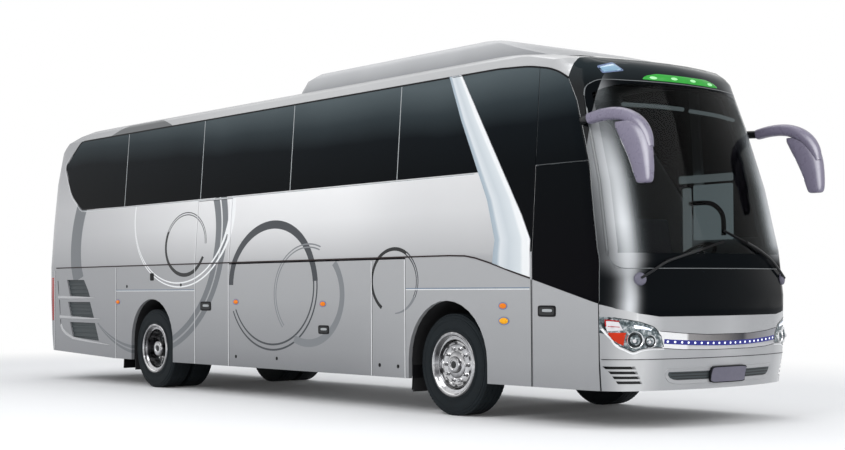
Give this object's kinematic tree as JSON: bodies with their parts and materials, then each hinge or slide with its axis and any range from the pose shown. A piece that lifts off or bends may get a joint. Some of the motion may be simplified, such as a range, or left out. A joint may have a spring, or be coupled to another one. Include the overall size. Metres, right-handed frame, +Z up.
{
  "type": "tour bus",
  "caption": "High-deck touring coach with hinged luggage flaps, outswinging doors, steered front wheels, twin rear wheels and a roof air conditioner.",
  "frame": {"origin": "on the ground, halfway between the mirror tips and the tail, on the centre plane", "axes": "+X forward, +Y to the left side, +Z up"},
  "size_m": [12.197, 2.6958, 3.927],
  "materials": {
    "silver_paint": "satin silver coach paint",
    "silver_flap": "painted aluminium, satin silver",
    "silver_plastic": "painted glass fibre, satin silver",
    "black_paint": "gloss black",
    "tinted_glass": "dark tinted",
    "windscreen_glass": "lightly tinted",
    "lamp_glass": "clear lamp cover",
    "red_lamp": "red and clear lamp cover",
    "chrome_trim": "polished",
    "wheel_chrome": "bright steel wheel",
    "tyre_rubber": "black tyre",
    "dark_grille": "dark mesh",
    "liner_plastic": "black liner",
    "frame_paint": "black chassis paint",
    "floor_board": "grey lined floor board",
    "bay_aluminium": "plain sheet",
    "engine_iron": "grey casting",
    "axle_iron": "black casting",
    "spring_rubber": "rubber bellows",
    "bracket_steel": "painted steel arm",
    "seat_fabric": "dark patterned fabric",
    "dash_plastic": "moulded black",
    "rack_plastic": "light grey moulded",
    "mirror_plastic": "painted housing",
    "blade_paint": "pale blue-white"
  },
  "bodies": {
    "root": {"roof": "silver_paint", "right_side": "silver_paint", "left_side": "silver_paint", "right_windows": "tinted_glass", "left_windows": "tinted_glass", "front_bumper": "silver_paint", "intake_grille": "dark_grille", "front_panel": "silver_paint", "headlamps": "lamp_glass", "chrome_strip": "chrome_trim", "front_mask": "black_paint", "windscreen": "windscreen_glass", "rear_bumper": "silver_paint", "rear_body": "silver_paint", "rear_window": "tinted_glass", "tail_lamps": "red_lamp", "side_skirts": "silver_paint", "side_grilles": "dark_grille", "wheelhouses": "liner_plastic", "rear_frame": "frame_paint", "front_frame": "frame_paint", "bay_frame": "frame_paint", "deck_frame": "frame_paint", "floors": "floor_board", "luggage_floor": "bay_aluminium", "fuel_tank": "bay_aluminium", "engine_block": "engine_iron", "front_axle": "axle_iron", "rear_axle": "axle_iron", "air_springs": "spring_rubber", "door_bearings": "bracket_steel", "ac_unit": "silver_plastic", "seats": "seat_fabric", "dashboard": "dash_plastic", "parcel_racks": "rack_plastic", "mirrors": "mirror_plastic", "blades": "blade_paint"},
    "knuckle_left": {"knuckle_left": "axle_iron"},
    "front_wheel_left": {"front_tyre_left": "tyre_rubber", "front_rim_left": "wheel_chrome"},
    "rear_wheels_left": {"rear_tyres_left": "tyre_rubber", "rear_rims_left": "wheel_chrome"},
    "luggage_flap_left": {"luggage_flap_left": "silver_flap"},
    "locker_flap_left": {"locker_flap_left": "silver_flap"},
    "knuckle_right": {"knuckle_right": "axle_iron"},
    "front_wheel_right": {"front_tyre_right": "tyre_rubber", "front_rim_right": "wheel_chrome"},
    "rear_wheels_right": {"rear_tyres_right": "tyre_rubber", "rear_rims_right": "wheel_chrome"},
    "luggage_flap_right": {"luggage_flap_right": "silver_flap"},
    "locker_flap_right": {"locker_flap_right": "silver_flap"},
    "steering_wheel": {"steering_wheel": "dash_plastic"},
    "front_door_arm": {"front_door_arm": "bracket_steel"},
    "mid_door_arm": {"mid_door_arm": "bracket_steel"},
    "front_door": {"front_door": "silver_flap", "front_door_glass": "tinted_glass"},
    "mid_door": {"mid_door": "silver_flap"},
    "engine_hood": {"engine_hood": "silver_flap"}
  },
  "joints": [
    {"name": "steer_left", "type": "hinge", "parent": "root", "child": "knuckle_left", "pos_m": [3.305, 0.88, 0.522], "axis": [0, 0, 1], "range_deg": [-38, 38]},
    {"name": "steer_right", "type": "hinge", "parent": "root", "child": "knuckle_right", "pos_m": [3.305, -0.88, 0.522], "axis": [0, 0, 1], "range_deg": [-38, 38]},
    {"name": "front_wheel_left_spin", "type": "hinge", "parent": "knuckle_left", "child": "front_wheel_left", "pos_m": [3.305, 1.06, 0.522], "axis": [0, 1, 0], "continuous": true},
    {"name": "front_wheel_right_spin", "type": "hinge", "parent": "knuckle_right", "child": "front_wheel_right", "pos_m": [3.305, -1.06, 0.522], "axis": [0, 1, 0], "continuous": true},
    {"name": "rear_wheels_left_spin", "type": "hinge", "parent": "root", "child": "rear_wheels_left", "pos_m": [-2.815, 1.085, 0.522], "axis": [0, 1, 0], "continuous": true},
    {"name": "rear_wheels_right_spin", "type": "hinge", "parent": "root", "child": "rear_wheels_right", "pos_m": [-2.815, -1.085, 0.522], "axis": [0, 1, 0], "continuous": true},
    {"name": "steering_wheel_turn", "type": "hinge", "parent": "root", "child": "steering_wheel", "pos_m": [4.985, 0.61, 1.6], "axis": [-0.5736, 0, 0.8192], "range_deg": [-690, 690]},
    {"name": "front_door_swing", "type": "hinge", "parent": "root", "child": "front_door_arm", "pos_m": [5.355, -1.133, 0.9], "axis": [0, 0, 1], "range_deg": [0, 156.28]},
    {"name": "front_door_level", "type": "hinge", "parent": "front_door_arm", "child": "front_door", "pos_m": [4.89875, -1.09829, 0.9], "axis": [0, 0, 1], "range_deg": [-156.38, 0]},
    {"name": "mid_door_swing", "type": "hinge", "parent": "root", "child": "mid_door_arm", "pos_m": [-1.625, -1.133, 0.9], "axis": [0, 0, -1], "range_deg": [0, 156.28]},
    {"name": "mid_door_level", "type": "hinge", "parent": "mid_door_arm", "child": "mid_door", "pos_m": [-1.16875, -1.09829, 0.9], "axis": [0, 0, -1], "range_deg": [-156.38, 0]},
    {"name": "luggage_flap_right_lift", "type": "hinge", "parent": "root", "child": "luggage_flap_right", "pos_m": [0.575, -1.279, 1.628], "axis": [-1, 0, 0], "range_deg": [0, 95]},
    {"name": "locker_flap_right_lift", "type": "hinge", "parent": "root", "child": "locker_flap_right", "pos_m": [2.325, -1.279, 1.628], "axis": [-1, 0, 0], "range_deg": [0, 95]},
    {"name": "luggage_flap_left_lift", "type": "hinge", "parent": "root", "child": "luggage_flap_left", "pos_m": [0.575, 1.279, 1.628], "axis": [1, 0, 0], "range_deg": [0, 95]},
    {"name": "locker_flap_left_lift", "type": "hinge", "parent": "root", "child": "locker_flap_left", "pos_m": [2.325, 1.279, 1.628], "axis": [1, 0, 0], "range_deg": [0, 95]},
    {"name": "engine_hood_lift", "type": "hinge", "parent": "root", "child": "engine_hood", "pos_m": [-6.087, 0, 1.596], "axis": [0, 1, 0], "range_deg": [0, 80]}
  ],
  "couplings": [
    {"joint": "steer_right", "follows": "steer_left", "ratio": 1},
    {"joint": "steering_wheel_turn", "follows": "steer_left", "ratio": 18},
    {"joint": "front_door_level", "follows": "front_door_swing", "ratio": -1},
    {"joint": "mid_door_level", "follows": "mid_door_swing", "ratio": -1}
  ]
}
